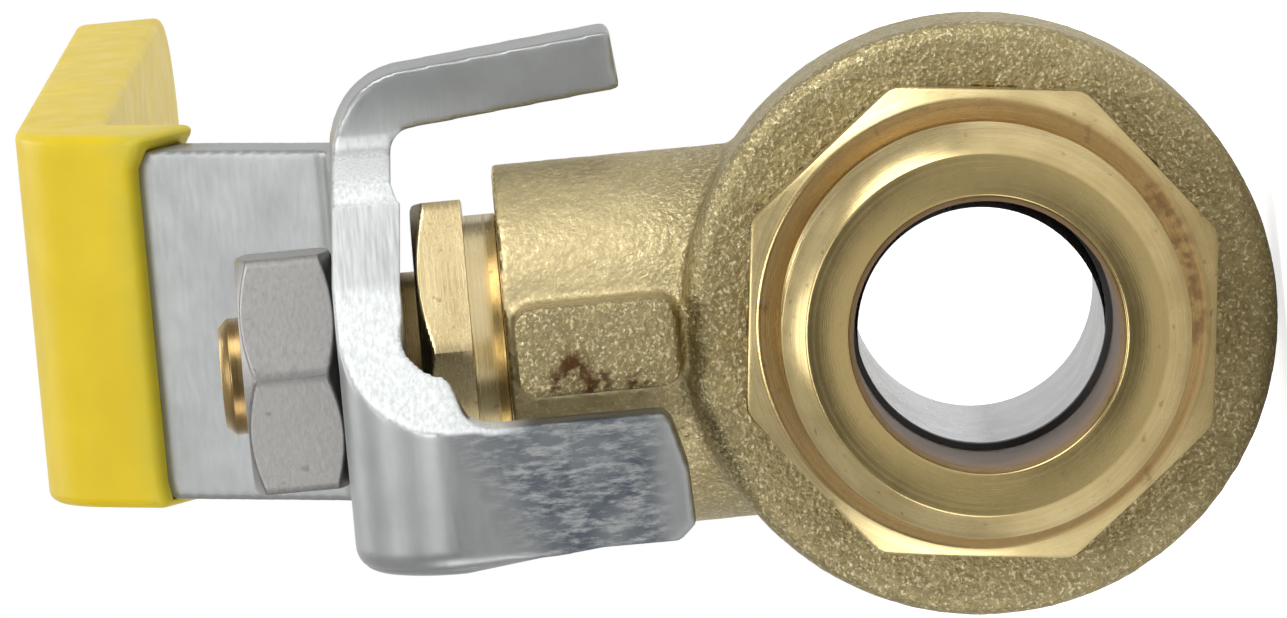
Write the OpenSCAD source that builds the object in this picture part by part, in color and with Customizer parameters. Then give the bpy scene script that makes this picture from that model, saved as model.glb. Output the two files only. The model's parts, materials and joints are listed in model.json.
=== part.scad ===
// Quarter-turn ball valve, half-inch size, with a male front end, a female rear end
// and a flat steel lever.
// The flow axis is Y, the stem axis is parallel to Z, and the origin is the centre of
// the flat sealing face at the front end. All sizes are in millimetres.

/* [Body] */
// Distance from the front sealing face to the stem axis
stem_y = 25.8; // [25.6:0.1:26.2]
// Outer radius of the round barrel around the ball
barrel_r = 15.45; // [15.2:0.05:16.5]
// Front face of the barrel
barrel_front = 14.7; // [14.6:0.1:14.8]
// Where the barrel starts to narrow towards the rear end
barrel_taper = 27.5; // [26:0.5:29]
// Front end of the rear octagon
rear_oct_front = 38.5; // [38:0.5:40]
// Rear face of the valve
rear_face = 51; // [50:0.5:54]
// Width across flats of the rear octagon
rear_oct_af = 25; // [24.5:0.5:26]
// Outer radius of the neck that carries the stem
neck_r = 9.8; // [9.5:0.1:10.5]
// Height of the neck's flat top
neck_top = 24.6; // [24.4:0.1:24.8]
// Corner rounding of the forging
forge_round = 1.1; // [0.6:0.1:1.5]

/* [Stop lug] */
// Width of the lug that stops the lever
lug_w = 4.7; // [4:0.1:5.4]
// How far the lug sits off the body's middle plane
lug_shift = 0.5; // [0:0.1:0.8]
// Reach of the lug's front face from the stem axis
lug_reach = 13.9; // [13.4:0.1:14.2]
// Lowest point of the lug's front face
lug_low = 15.6; // [15:0.1:16.5]
// Highest point of the lug
lug_high = 24.1; // [23:0.1:24.3]

/* [End connector] */
// Crest radius of the male pipe thread
thread_r = 10.48; // [10.4:0.01:10.5]
// Length of the male end in front of the octagon
stub_len = 10.6; // [10:0.1:11]
// Outer radius of the flat sealing face
face_r = 9.25; // [9:0.05:9.6]
// Width across flats of the connector's octagon
front_oct_af = 24.1; // [23.5:0.1:25]
// Turn of the connector's octagon about the flow axis, in degrees
front_oct_turn = 6.8; // [0:0.2:22]
// Radius of the flow bore in the connector and the body
bore_r = 6.8; // [6.6:0.1:7]
// Radius of the connector's plug inside the body
plug_r = 11.9; // [11.8:0.05:12]

/* [Female end] */
// Crest radius of the female pipe thread
rear_thread_r = 9.32; // [9.25:0.01:9.4]
// Depth of the female thread
rear_thread_len = 13; // [12:0.5:13]

/* [Ball and seats] */
// Radius of the ball
ball_r = 11.2; // [11:0.05:11.3]
// Radius of the bore through the ball
ball_bore_r = 6.4; // [6:0.1:6.5]
// Distance between the ball and the seat's round face
seat_gap = 0.08; // [0.05:0.01:0.1]
// Outer radius of a seat ring
seat_r = 10; // [9.8:0.1:10.2]
// Inner radius of a seat ring
seat_bore_r = 6.5; // [6.5:0.05:6.7]

/* [Stem and gland] */
// Radius of the stem in its bore
stem_r = 4.6; // [4.4:0.1:4.8]
// Radius of the stem's threaded end
stem_thread_r = 4; // [3.9:0.05:4.1]
// Distance across the flats that drive the lever
stem_flats = 6.2; // [6:0.1:6.6]
// Top of the stem
stem_top = 39.55; // [39.3:0.05:41]
// Width across flats of the gland nut
gland_af = 16; // [15.8:0.1:17]
// Radius of the gland nut's smooth collar
gland_collar_r = 7.25; // [7.1:0.05:7.6]
// Turn of the gland nut about the stem axis, in degrees
gland_turn = 4.5; // [0:0.5:30]

/* [Lever] */
// How far the lever stands short of its open stop, in degrees
rest_turn = 4.2; // [0:0.1:10]
// Underside of the lever where it sits on the stem's shoulder
lever_low = 30.2; // [30:0.05:31]
// Thickness of the lever's steel strip
strip_t = 3.1; // [2.8:0.1:3.2]
// Width of the strip
strip_w = 18.9; // [18:0.1:20]
// Distance from the stem axis to the outer face of the front stop ear
front_ear_outer = 15.75; // [15.6:0.05:16]
// Distance from the stem axis to the outer face of the side stop ear
side_ear_outer = 16.2; // [15.8:0.05:16.4]
// Lowest point of the front ear
front_ear_low = 15.6; // [15.6:0.1:18]
// Width of the front ear at its lower end
front_ear_w = 6.7; // [6:0.1:7.4]
// Lowest point of the side ear
side_ear_low = 17.3; // [17:0.1:19]
// Width of the side ear
side_ear_w = 4.6; // [4:0.1:6]
// How far the side ear leans outwards, in degrees
side_splay = 5.5; // [0:0.5:7]
// Angle between the riser and the stem, in degrees
riser_lean = 37; // [30:1:45]
// Length of the flat part of the riser
riser_len = 15.8; // [12:0.2:17]
// How much the grip slopes down towards its tip, in degrees
grip_droop = 3; // [0:0.5:4]
// Distance from the stem axis to the end of the strip
strip_tip = 84.5; // [70:0.5:90]
// Wall thickness of the plastic sleeve
sleeve_t = 0.9; // [0.7:0.05:1.2]

/* [Lever nut] */
// Width across flats of the lever nut
nut_af = 12.3; // [12:0.1:13]
// Height of the lever nut
nut_h = 5.05; // [4.5:0.05:5.4]

/* [Hidden] */
$fn = 96;

brass = [0.72, 0.60, 0.36];
forged_brass = [0.62, 0.54, 0.35];
steel = [0.70, 0.72, 0.72];
seal_black = [0.16, 0.16, 0.16];
seal_white = [0.90, 0.90, 0.87];
past = 1;                                // how far a cutter runs past the face it opens

// Flow passage and seats, as distances from the stem axis along the flow
seat_back = 10.6;
seat_front = 7.2;
cavity_r = 11.6;
cavity_end = 5.4;

// End connector
chamfer_len = 1.3;
undercut_len = 1;
undercut_r = 9.6;
oct_ring_r = 11.58;
plug_end = 19.2;
groove_start = 14.9;
groove_end = 16.1;
groove_r = 11;

// Bores around the stem, from the ball cavity upwards
collar_r = 5.7;
collar_low = 11.6;
collar_high = 13.4;
washer_high = 14.2;
stem_bore_r = stem_r + 0.1;
chamber_r = 7;
chamber_low = 18.6;
packing_h = 1.6;
follower_low = chamber_low + 2 * packing_h;
gland_low = follower_low + 0.8;
gland_hex_low = 26.3;
gland_high = 29;
ring_zs = [15.5, 17.3];                  // heights of the two stem O-rings
ring_section_r = 0.5;
ring_groove_h = 1.2;
stem_ring_r = stem_bore_r - 0.04 - ring_section_r;
tang_w = 4;
tang_low = 7.9;
slot_low = 7.6;
slot_gap = 0.15;

// Lever
lever_high = lever_low + strip_t;
front_edge = 9;                          // hub's front edge, from the stem axis
ear_gap = 0.06;                          // room left between an ear and the lug at a stop
lug_side_low = lug_shift - lug_w / 2;
lug_side_high = lug_shift + lug_w / 2;
front_ear_edge = lug_side_low - ear_gap;
side_ear_edge = lug_side_high + ear_gap;
front_bend_r = 6;                        // outer radii of the bends
side_bend_r = 4.2;
side_tilt = 5;                           // slope of the hub towards the side ear, in degrees
tilt_start = 5;                          // where that slope starts, clear of the stem's shoulder
riser_y = 15.4;                          // start of the bend into the riser
riser_bend_r = 3.6;                      // centreline radii of the bends
grip_bend_r = 4.6;
sleeve_start = 11.7;                     // bare length of the riser
tip_round = 6;                           // corner radius at the strip's far end
lever_hole_gap = 0.05;

// Points of an arc from angle a to angle b.
function arc(c, r, a, b, n = 10) =
    [for (i = [0 : n]) c + r * [cos(a + (b - a) * i / n), sin(a + (b - a) * i / n)]];

// A revolved solid about the flow axis: profile points are [radius, distance along Y].
module about_flow(points) {
    rotate([-90, 0, 0])
        rotate_extrude() polygon(points);
}

// A revolved solid about the stem axis: profile points are [radius, height].
module about_stem(points) {
    translate([0, stem_y, 0])
        rotate_extrude() polygon(points);
}

// A cylinder about the flow axis between two places.
module flow_cylinder(r, from, to) {
    translate([0, from, 0])
        rotate([-90, 0, 0]) cylinder(r = r, h = to - from);
}

// A cylinder about the stem axis between two heights.
module stem_cylinder(r, low, high) {
    translate([0, stem_y, low]) cylinder(r = r, h = high - low);
}

// An octagonal prism about the flow axis with flats at top, bottom and sides.
module flow_octagon(af, from, to, turn = 0) {
    translate([0, from, 0])
        rotate([-90, 0, 0])
            rotate([0, 0, 22.5 + turn]) cylinder(r = af / 2 / cos(22.5), h = to - from, $fn = 8);
}

// A hexagonal prism about the stem axis with one corner towards the front.
module stem_hexagon(af, low, high, turn = 0) {
    translate([0, stem_y, low])
        rotate([0, 0, turn + 90]) cylinder(r = af / 2 / cos(30), h = high - low, $fn = 6);
}

// Outer envelope of a hexagon nut whose corners are turned off at 30 degrees.
module chamfer_envelope(af, low, high, both = true) {
    tip_r = af / 2 * 0.97;
    corner_r = af / 2 / cos(30) + 0.1;
    drop = (corner_r - tip_r) * tan(30);
    about_stem([
        [0, low], [both ? tip_r : corner_r, low], [corner_r, both ? low + drop : low],
        [corner_r, high - drop], [tip_r, high], [0, high]
    ]);
}

// Everything inside works in the lever's own frame: stem axis at the origin, grip along +Y.
module lever_frame() {
    translate([0, stem_y, 0])
        rotate([0, 0, -rest_turn]) children();
}

// Forged brass housing with the barrel, the neck, the stop lug and the rear octagon.
module valve_body() {
    color(forged_brass)
    difference() {
        union() {
            barrel();
            stem_cylinder(neck_r, 0, neck_top);
            stop_lug();
            intersection() {
                flow_octagon(rear_oct_af, rear_oct_front - 2, rear_face);
                about_flow([
                    [0, rear_oct_front - 2], [rear_oct_af / 2 + 1.2, rear_oct_front - 2],
                    [rear_oct_af / 2 + 1.2, rear_face - 1], [rear_oct_af / 2 - 0.4, rear_face],
                    [0, rear_face]
                ]);
            }
        }
        flow_cylinder(plug_r, barrel_front - past, plug_end);
        flow_cylinder(cavity_r, barrel_front, stem_y + cavity_end);
        flow_cylinder(seat_r, stem_y, stem_y + seat_back);
        flow_cylinder(bore_r, stem_y, rear_face);
        about_flow([
            [0, rear_face - rear_thread_len], [rear_thread_r, rear_face - rear_thread_len],
            [rear_thread_r, rear_face - 1.2], [rear_thread_r + 1.2, rear_face],
            [rear_thread_r + 1.2, rear_face + past], [0, rear_face + past]
        ]);
        stem_cylinder(collar_r + 0.1, 0, washer_high);
        stem_cylinder(stem_bore_r, 0, neck_top);
        stem_cylinder(chamber_r, chamber_low, neck_top + past);
    }
}

// Round outside of the housing, narrowing towards the rear octagon.
module barrel() {
    rear_r = rear_oct_af / 2 - 0.3;
    about_flow(concat(
        [[0, barrel_front]],
        arc([barrel_r - forge_round, barrel_front + forge_round], forge_round, -90, 0, 6),
        arc([barrel_r - 6, barrel_taper], 6, 0, 48, 8),
        [[rear_r, rear_oct_front - 1], [rear_r, rear_oct_front + 1], [0, rear_oct_front + 1]]
    ));
}

// Rounded block on the front of the neck that the lever's ears stop against.
module stop_lug() {
    round_r = 0.8;
    translate([lug_shift, stem_y - lug_reach, 0])
        rotate([-90, 0, 0])
            linear_extrude(height = lug_reach)
                mirror([0, 1]) rounded_rectangle(lug_w, lug_low, lug_high, round_r);
}

// Rectangle of width w between two heights, with rounded corners.
module rounded_rectangle(w, low, high, r) {
    polygon(concat(
        arc([w / 2 - r, low + r], r, -90, 0, 4), arc([w / 2 - r, high - r], r, 0, 90, 4),
        arc([r - w / 2, high - r], r, 90, 180, 4), arc([r - w / 2, low + r], r, 180, 270, 4)
    ));
}

// Machined front end with the male thread, the octagon and the plug that holds the seat.
module end_connector() {
    color(brass)
    difference() {
        union() {
            about_flow([
                [0, 0], [face_r, 0], [thread_r, chamfer_len],
                [thread_r, stub_len - undercut_len], [undercut_r, stub_len - undercut_len + 0.4],
                [undercut_r, stub_len], [0, stub_len]
            ]);
            intersection() {
                flow_octagon(front_oct_af, stub_len, barrel_front, front_oct_turn);
                about_flow([
                    [0, stub_len], [oct_ring_r, stub_len], [oct_ring_r + 1.8, stub_len + 1],
                    [oct_ring_r + 1.8, barrel_front], [0, barrel_front]
                ]);
            }
            about_flow([
                [0, barrel_front], [groove_r, barrel_front], [groove_r, groove_end],
                [plug_r, groove_end], [plug_r, plug_end], [0, plug_end]
            ]);
            flow_cylinder(plug_r, barrel_front, groove_start);
        }
        flow_cylinder(bore_r, -past, plug_end);
        about_flow([[0, -past], [bore_r + 0.35, -past], [bore_r + 0.35, 0], [bore_r, 0.5], [0, 0.5]]);
        flow_cylinder(seat_r, stem_y - seat_back, plug_end + past);
    }
}

// Rubber ring that seals the connector's plug in the body.
module connector_o_ring() {
    section_r = (plug_r - groove_r) / 2;
    color(seal_black)
    translate([0, (groove_start + groove_end) / 2, 0])
        rotate([-90, 0, 0])
            rotate_extrude()
                translate([groove_r + section_r, 0]) circle(r = section_r, $fn = 32);
}

// One seat ring, with its back at the given place and its round face towards the ball.
module seat(side) {
    difference() {
        translate([0, stem_y, 0])
            rotate([side * 90, 0, 0])
                rotate_extrude()
                    polygon([
                        [seat_bore_r, 0], [seat_r, seat_front], [seat_r, seat_back],
                        [seat_bore_r, seat_back]
                    ]);
        translate([0, stem_y, 0]) sphere(r = ball_r + seat_gap);
        flow_cylinder(seat_r + 1, stem_y - seat_front, stem_y + seat_front);
    }
}

// Seat between the connector and the ball.
module front_seat() {
    color(seal_black) seat(1);
}

// Seat between the ball and the body.
module rear_seat() {
    color(seal_black) seat(-1);
}

// Chromed ball with the flow bore and the slot that the stem turns it by.
module ball() {
    color([0.80, 0.81, 0.82])
    lever_frame()
        difference() {
            sphere(r = ball_r);
            rotate([90, 0, 0]) cylinder(r = ball_bore_r, h = 2 * ball_r + 2, center = true);
            translate([-ball_r, -tang_w / 2 - slot_gap, slot_low])
                cube([2 * ball_r, tang_w + 2 * slot_gap, ball_r]);
        }
}

// Brass stem: tang, shoulder, two ring grooves, driving flats and threaded end.
module stem() {
    end_r = 3.05;                        // plain end above the thread
    end_chamfer = 0.6;
    end_low = lever_high + nut_h - 0.6;
    color(brass)
    lever_frame() {
        intersection() {
            translate([-ball_r, -tang_w / 2, tang_low])
                cube([2 * ball_r, tang_w, collar_low - tang_low]);
            cylinder(r = collar_r - 0.6, h = collar_low);
        }
        difference() {
            union() {
                translate([0, 0, collar_low])
                    cylinder(r = collar_r, h = collar_high - collar_low);
                cylinder_between(stem_r, collar_high, lever_low);
            }
            for (z = ring_zs) ring_groove(z);
        }
        intersection() {
            rotate_extrude()
                polygon([
                    [0, lever_low], [stem_thread_r, lever_low],
                    [stem_thread_r, end_low], [end_r, end_low + stem_thread_r - end_r - 0.4],
                    [end_r, stem_top - end_chamfer], [end_r - end_chamfer, stem_top],
                    [0, stem_top]
                ]);
            union() {
                translate([-stem_flats / 2, -stem_r, lever_low])
                    cube([stem_flats, 2 * stem_r, strip_t]);
                cylinder_between(stem_r, lever_high, stem_top);
            }
        }
    }
}

// A cylinder at the lever frame's axis between two heights.
module cylinder_between(r, low, high) {
    translate([0, 0, low]) cylinder(r = r, h = high - low);
}

// Cutter for one O-ring groove around the stem.
module ring_groove(z) {
    inner_r = stem_ring_r - ring_section_r;
    translate([0, 0, z - ring_groove_h / 2])
        difference() {
            cylinder(r = stem_r + past, h = ring_groove_h);
            cylinder(r = inner_r, h = ring_groove_h);
        }
}

// One stem O-ring at the given height.
module stem_o_ring(z) {
    color(seal_black)
    lever_frame()
        translate([0, 0, z])
            rotate_extrude()
                translate([stem_ring_r, 0]) circle(r = ring_section_r, $fn = 32);
}

// Lower of the two O-rings in the stem's grooves.
module stem_o_ring_lower() {
    stem_o_ring(ring_zs[0]);
}

// Upper of the two O-rings in the stem's grooves.
module stem_o_ring_upper() {
    stem_o_ring(ring_zs[1]);
}

// A flat ring about the stem axis.
module stem_ring(inner_r, outer_r, low, high) {
    difference() {
        stem_cylinder(outer_r, low, high);
        stem_cylinder(inner_r, low - past, high + past);
    }
}

// Low-friction washer between the stem's shoulder and the body.
module thrust_washer() {
    color(seal_white) stem_ring(stem_bore_r, collar_r, collar_high + 0.02, washer_high);
}

// Lower packing ring in the chamber around the stem.
module packing_ring_lower() {
    color(seal_white) stem_ring(stem_bore_r, chamber_r, chamber_low, chamber_low + packing_h);
}

// Upper packing ring in the chamber around the stem.
module packing_ring_upper() {
    color(seal_white) stem_ring(stem_bore_r, chamber_r, chamber_low + packing_h, follower_low);
}

// Brass ring that spreads the gland nut's load over the packing.
module packing_follower() {
    color(brass) stem_ring(stem_bore_r, chamber_r, follower_low, gland_low);
}

// Hexagonal gland nut, with a smooth collar and a threaded end inside the neck.
module gland_nut() {
    color(brass)
    difference() {
        union() {
            stem_cylinder(chamber_r, gland_low, neck_top);
            stem_cylinder(gland_collar_r, neck_top, gland_hex_low);
            intersection() {
                stem_hexagon(gland_af, gland_hex_low, gland_high, gland_turn);
                chamfer_envelope(gland_af, gland_hex_low, gland_high, false);
            }
        }
        stem_cylinder(stem_bore_r, gland_low - past, gland_high + past);
    }
}

// Outline of a bent strip: it starts at p with heading a and follows its steps.
// A step is [length] for a straight run, or [radius, turn] for a bend of its middle line.
function walk(p, a, steps, side, i = 0) =
    i == len(steps) ? [p + side * [-sin(a), cos(a)]] :
    len(steps[i]) == 1
    ? concat([p + side * [-sin(a), cos(a)]],
             walk(p + steps[i][0] * [cos(a), sin(a)], a, steps, side, i + 1))
    : let (r = steps[i][0], t = steps[i][1], s = sign(t),
           c = p + s * r * [-sin(a), cos(a)],
           end = c + s * r * [sin(a + t), -cos(a + t)])
      concat([for (k = [0 : 7]) let (b = a + t * k / 8)
                  c + (s * r - side) * [sin(b), -cos(b)]],
             walk(end, a + t, steps, side, i + 1));

function reversed(v) = [for (i = [len(v) - 1 : -1 : 0]) v[i]];

// Closed outline of a bent strip of thickness t.
function strip_outline(p, a, steps, t) =
    concat(walk(p, a, steps, t / 2), reversed(walk(p, a, steps, -t / 2)));

// Extrudes a [Y, Z] outline across the lever from x = low to x = high.
module across(low, high) {
    translate([low, 0, 0])
        rotate([90, 0, 90]) linear_extrude(height = high - low) children();
}

mid_z = lever_low + strip_t / 2;
riser_turn = 90 - riser_lean;
riser_start = [riser_y, mid_z];
riser_bend_end = riser_start
    + riser_bend_r * [sin(riser_turn), 1 - cos(riser_turn)];
grip_turn = -(riser_turn + grip_droop);
grip_start = riser_bend_end + riser_len * [cos(riser_turn), sin(riser_turn)]
    + grip_bend_r * [sin(riser_turn) + sin(grip_droop), cos(grip_droop) - cos(riser_turn)];
grip_len = (strip_tip - grip_start[0]) / cos(grip_droop);

// Zinc-plated steel lever with a hub, two stop ears, a riser and the bare grip strip.
module lever() {
    color(steel)
    lever_frame()
        difference() {
            union() {
                hub_and_front_ear();
                side_ear();
                intersection() {
                    across(-strip_w / 2, strip_w / 2)
                        polygon(strip_outline([0, mid_z], 0,
                            [[riser_y], [riser_bend_r, riser_turn], [riser_len],
                             [grip_bend_r, grip_turn], [grip_len]], strip_t));
                    round_tip(strip_w, strip_tip, tip_round);
                }
            }
            intersection() {
                cylinder_between(stem_thread_r + lever_hole_gap, lever_low - past, lever_high + past);
                translate([-stem_flats / 2 - lever_hole_gap, -stem_r - 1, lever_low - past])
                    cube([stem_flats + 2 * lever_hole_gap, 2 * stem_r + 2, strip_t + 2 * past]);
            }
        }
}

// Flat hub whose front edge runs diagonally into the ear bent down at the front.
module hub_and_front_ear() {
    bend_start = front_ear_outer - front_bend_r;
    half_w = strip_w / 2;
    ear_left = front_ear_edge - front_ear_w;
    blend_w = 7;                         // width and depth of the corner between hub and ear
    blend_h = 7;
    slant = 0.8;                         // rise of the ear's lower end towards the lug
    intersection() {
        across(-half_w, half_w)
            polygon(strip_outline([1, mid_z], 180,
                [[bend_start + 1], [front_bend_r - strip_t / 2, 90],
                 [lever_high - front_bend_r - front_ear_low]], strip_t));
        translate([0, 0, front_ear_low - past])
            linear_extrude(height = lever_high)
                polygon([
                    [-half_w, 1], [-half_w, -front_ear_outer - 1],
                    [front_ear_edge, -front_ear_outer - 1], [front_ear_edge, -front_ear_outer],
                    [front_ear_edge + blend_w, -front_edge], [half_w, -front_edge], [half_w, 1]
                ]);
        rotate([90, 0, 0])
            translate([0, 0, -1])
                linear_extrude(height = front_ear_outer + 2)
                    polygon([
                        [-half_w, lever_high + 1], [half_w, lever_high + 1],
                        [half_w, lever_low - 0.5], [front_ear_edge + 4, lever_high - 5],
                        [front_ear_edge, lever_high - blend_h],
                        [front_ear_edge, front_ear_low + slant], [ear_left, front_ear_low],
                        [ear_left, front_ear_low + 5], [-half_w, front_ear_low + 12]
                    ]);
    }
}

// Ear at the side, bent down from a hub edge that slopes slightly towards it.
module side_ear() {
    ear_run = lever_high - side_bend_r - side_ear_low;
    bend_start = side_ear_outer - side_bend_r - ear_run * tan(side_splay);
    drop = (bend_start - tilt_start) * tan(side_tilt);
    tilt_r = 6;
    back = side_ear_edge + side_ear_w;
    corner = 3;
    intersection() {
        translate([0, back, 0])
            rotate([90, 0, 0])
                linear_extrude(height = back + front_edge)
                    polygon(strip_outline([0, mid_z], 0,
                        [[tilt_start], [tilt_r, -side_tilt],
                         [bend_start - tilt_start - tilt_r * sin(side_tilt)],
                         [side_bend_r - strip_t / 2, side_tilt + side_splay - 90],
                         [ear_run - drop]], strip_t));
        translate([0, 0, side_ear_low - 2])
            linear_extrude(height = lever_high)
                polygon(concat(
                    [[0, -front_edge]],
                    arc([bend_start - corner, corner - front_edge], corner, -90, 0, 6),
                    [[bend_start, side_ear_edge - 1.2], [bend_start + 0.8, side_ear_edge],
                     [side_ear_outer + 1, side_ear_edge], [side_ear_outer + 1, back], [0, back]]
                ));
    }
}

// Tall block that rounds the corners of a strip's far end.
module round_tip(w, tip, r) {
    linear_extrude(height = 2 * stem_top)
        polygon(concat(
            [[-w / 2, -past], [w / 2, -past]],
            arc([w / 2 - r, tip - r], r, 0, 90, 8), arc([r - w / 2, tip - r], r, 90, 180, 8)
        ));
}

// Yellow plastic sleeve over the grip and the upper part of the riser.
module lever_sleeve() {
    riser_dir = [cos(riser_turn), sin(riser_turn)];
    sleeve_from = riser_bend_end + sleeve_start * riser_dir;
    color([0.90, 0.78, 0.12])
    lever_frame()
        difference() {
            intersection() {
                across(-strip_w / 2 - sleeve_t, strip_w / 2 + sleeve_t)
                    polygon(strip_outline(sleeve_from, riser_turn,
                        [[riser_len - sleeve_start], [grip_bend_r, grip_turn],
                         [grip_len + sleeve_t]], strip_t + 2 * sleeve_t));
                round_tip(strip_w + 2 * sleeve_t, strip_tip + sleeve_t, tip_round + sleeve_t);
            }
            intersection() {
                across(-strip_w / 2, strip_w / 2)
                    polygon(strip_outline(sleeve_from - past * riser_dir, riser_turn,
                        [[riser_len - sleeve_start + past], [grip_bend_r, grip_turn],
                         [grip_len]], strip_t));
                round_tip(strip_w, strip_tip, tip_round);
            }
        }
}

// Hexagon nut that holds the lever on the stem.
module lever_nut() {
    color([0.66, 0.65, 0.63])
    difference() {
        intersection() {
            stem_hexagon(nut_af, lever_high, lever_high + nut_h);
            chamfer_envelope(nut_af, lever_high, lever_high + nut_h);
        }
        stem_cylinder(stem_thread_r, lever_high - past, lever_high + nut_h + past);
    }
}

valve_body();
end_connector();
connector_o_ring();
front_seat();
rear_seat();
ball();
stem();
thrust_washer();
stem_o_ring_lower();
stem_o_ring_upper();
packing_ring_lower();
packing_ring_upper();
packing_follower();
gland_nut();
lever();
lever_sleeve();
lever_nut();
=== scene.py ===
"""Half-inch quarter-turn ball valve: forged and turned brass, a bent zinc-plated lever
and a dipped yellow sleeve. Working sizes are in millimetres and become metres in place()."""

import json
import math

import bmesh
import bpy
import numpy as np
from mathutils import Euler, Matrix, Vector, noise


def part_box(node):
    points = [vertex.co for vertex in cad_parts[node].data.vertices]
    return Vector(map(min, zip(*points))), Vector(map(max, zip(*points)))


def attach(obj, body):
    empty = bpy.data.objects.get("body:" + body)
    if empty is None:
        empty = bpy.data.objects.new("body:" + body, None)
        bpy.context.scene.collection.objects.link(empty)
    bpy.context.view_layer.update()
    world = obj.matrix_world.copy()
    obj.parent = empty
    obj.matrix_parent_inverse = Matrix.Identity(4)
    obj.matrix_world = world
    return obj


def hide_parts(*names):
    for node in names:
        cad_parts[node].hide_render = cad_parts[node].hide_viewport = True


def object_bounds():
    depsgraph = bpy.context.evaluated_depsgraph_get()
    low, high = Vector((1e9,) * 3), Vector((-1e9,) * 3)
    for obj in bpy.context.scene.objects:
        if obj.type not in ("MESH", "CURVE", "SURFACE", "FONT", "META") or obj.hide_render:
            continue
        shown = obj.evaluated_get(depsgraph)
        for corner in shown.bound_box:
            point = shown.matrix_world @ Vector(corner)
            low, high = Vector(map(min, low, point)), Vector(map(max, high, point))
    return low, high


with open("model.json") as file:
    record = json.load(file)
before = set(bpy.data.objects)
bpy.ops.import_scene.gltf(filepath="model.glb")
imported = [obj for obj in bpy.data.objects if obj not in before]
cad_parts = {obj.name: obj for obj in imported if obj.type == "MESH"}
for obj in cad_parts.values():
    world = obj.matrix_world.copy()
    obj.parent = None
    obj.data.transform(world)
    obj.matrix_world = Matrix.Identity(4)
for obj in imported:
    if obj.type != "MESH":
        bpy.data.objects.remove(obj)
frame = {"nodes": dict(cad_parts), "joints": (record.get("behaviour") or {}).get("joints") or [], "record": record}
cad_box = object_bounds()
MM = 0.001

# ---------------------------------------------------------------- sizes, in millimetres


def box_mm(node):
    """Lowest and highest corner of a CAD node, in millimetres."""
    low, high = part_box(node)
    return low / MM, high / MM


def mount_radius(name):
    """Radius of one of the record's round mounts, in millimetres."""
    return next(m for m in frame["record"]["mounts"] if m["name"] == name)["dims"]["r_mm"]


LEVER_JOINT = next(j for j in frame["joints"] if j["name"] == "lever_turn")
REST_TURN = -LEVER_JOINT["range_deg"][0]
STEM_Y = LEVER_JOINT["pos_m"][1] / MM
PITCH = 1.814                      # half-inch pipe thread, 14 turns to the inch
THREAD_DEPTH = 1.0
CREST_R = mount_radius("front_pipe_thread")
REAR_CREST_R = mount_radius("rear_pipe_thread")
BODY_LOW, BODY_HIGH = box_mm("valve_body")
LUG_FRONT = BODY_LOW.y
BARREL_FRONT = LUG_FRONT + 2.8
CONNECTOR_END = box_mm("end_connector")[1].y
GLAND_LOW, GLAND_HIGH = box_mm("gland_nut")
NUT_LOW, NUT_HIGH = box_mm("lever_nut")
STEM_TOP = box_mm("stem")[1].z
PAST = 1                           # how far a shell or cutter runs past what it meets

# Front end: radii, and distances along the flow from the sealing face
BORE_R = 6.8
FACE_R = 9.25
THREAD_CHAMFER = 1.3
UNDERCUT_R = 9.6
RING_R, RING_FRONT = 11.58, 10.6   # flat ring in front of the octagon
FRONT_FLATS, FRONT_TURN = 24.1, 6.8
PLUG_R, PLUG_BORE_R, PLUG_END = 11.88, 11.93, 19.2
SEAT_R = 10

# Housing
FORGE_ROUND = 1.1
NECK_R = 9.8
CAVITY_R, CAVITY_END = 11.6, 31.2
SEAT_BACK = 36.4
REAR_FLATS, REAR_FROM = 25, 36.5
REAR_BORE_R, REAR_BORE_FROM = 10.76, 38
LUG_SHIFT, LUG_ROUND = 0.5, 1.0

# Stem and its nuts, with heights above the flow axis
STEM_R, STEM_BORE_R = 4.6, 4.7
STEM_THREAD_R, STEM_END_R = 4, 3.05
COLLAR_R, COLLAR_LOW, COLLAR_HIGH = 5.7, 11.6, 13.4
WASHER_HIGH = 14.2
CHAMBER_R, CHAMBER_LOW = 7.02, 18.6
TANG_R, TANG_HALF, TANG_LOW = 5.1, 2, 7.9
FLAT_HALF = 3.1                    # from the stem axis to each driving flat
GLAND_HEX_LOW = 26.3
GLAND_FLATS, GLAND_TURN = 16, 4.5
NUT_FLATS, NUT_CUT = 12.3, 0.68    # the nut's ends are turned off by this height

# Lever, measured from the stem axis; bends are radii of the strip's middle line
LEVER_HIGH = NUT_LOW.z
STRIP_T = 3.1
STRIP_W = 18.9
LEVER_LOW = LEVER_HIGH - STRIP_T
MID_Z = LEVER_LOW + STRIP_T / 2
HUB_FRONT = 9.0
HUB_SLOPE_FROM, HUB_SLOPE_TO = 5.2, 12.4       # where the hub dips towards the side ear
HUB_DROP = (HUB_SLOPE_TO - HUB_SLOPE_FROM) * math.tan(math.radians(5.2))
HUB_ROLL = 0.5                     # how far the hub's front edge rolls down
HUB_ROUND = 1.3                    # rounding of the hub's free edge over the front bend
EAR_OUTER, EAR_BEND = 15.75, 6.0   # the front ear's reach and the outside radius of its bend
EAR_LOW = 15.6
EAR_RIGHT, EAR_W = -1.91, 6.7
RISER_TURN = 53.0                  # slope of the riser above the hub, in degrees
RISER_LEN = 15.8
RISER_START = 15.4
RISER_BEND = 3.6
GRIP_BEND = 4.6
GRIP_DROOP = 3.0
STRIP_TIP = 84.5
TIP_ROUND = 6.0
RISER_DIR = Vector((math.cos(math.radians(RISER_TURN)), math.sin(math.radians(RISER_TURN))))
RISER_FROM = Vector((
    RISER_START + RISER_BEND * math.sin(math.radians(RISER_TURN)),
    MID_Z + RISER_BEND * (1 - math.cos(math.radians(RISER_TURN))),
))
GRIP_HEIGHTS = (20, 60)            # cutters for the grip's end span these heights

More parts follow.
